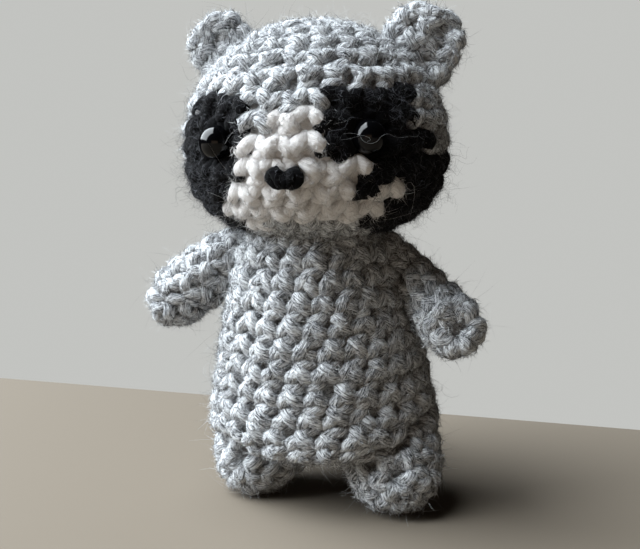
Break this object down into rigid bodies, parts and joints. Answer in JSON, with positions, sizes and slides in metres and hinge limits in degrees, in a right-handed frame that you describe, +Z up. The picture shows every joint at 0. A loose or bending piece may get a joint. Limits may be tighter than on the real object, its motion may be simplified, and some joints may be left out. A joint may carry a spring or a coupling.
{
  "type": "crocheted toy raccoon",
  "caption": "Small stuffed crochet raccoon standing on stub feet, arms held out, with a black eye mask, white muzzle, domed black eyes, round ears and a ringed tail.",
  "frame": {"origin": "on the floor, under the middle of the toy's own box", "axes": "+Z up; the toy faces -Y and its own left side is +X"},
  "size_m": [0.0704, 0.066, 0.0985],
  "materials": {
    "grey_yarn": "heathered grey worsted yarn in single crochet, slightly fuzzy",
    "black_yarn": "black worsted yarn, crocheted and embroidered, slightly fuzzy",
    "white_yarn": "soft white worsted yarn in single crochet",
    "eye_plastic": "moulded gloss black safety eye"
  },
  "bodies": {
    "root": {"head": "grey_yarn", "muzzle": "white_yarn", "mask_left": "black_yarn", "mask_right": "black_yarn", "ear_left": "grey_yarn", "ear_right": "grey_yarn", "eye_left": "eye_plastic", "eye_right": "eye_plastic", "nose": "black_yarn", "trunk": "grey_yarn", "arm_left": "grey_yarn", "arm_right": "grey_yarn", "leg_left": "grey_yarn", "leg_right": "grey_yarn", "tail": "grey_yarn"}
  },
  "joints": []
}
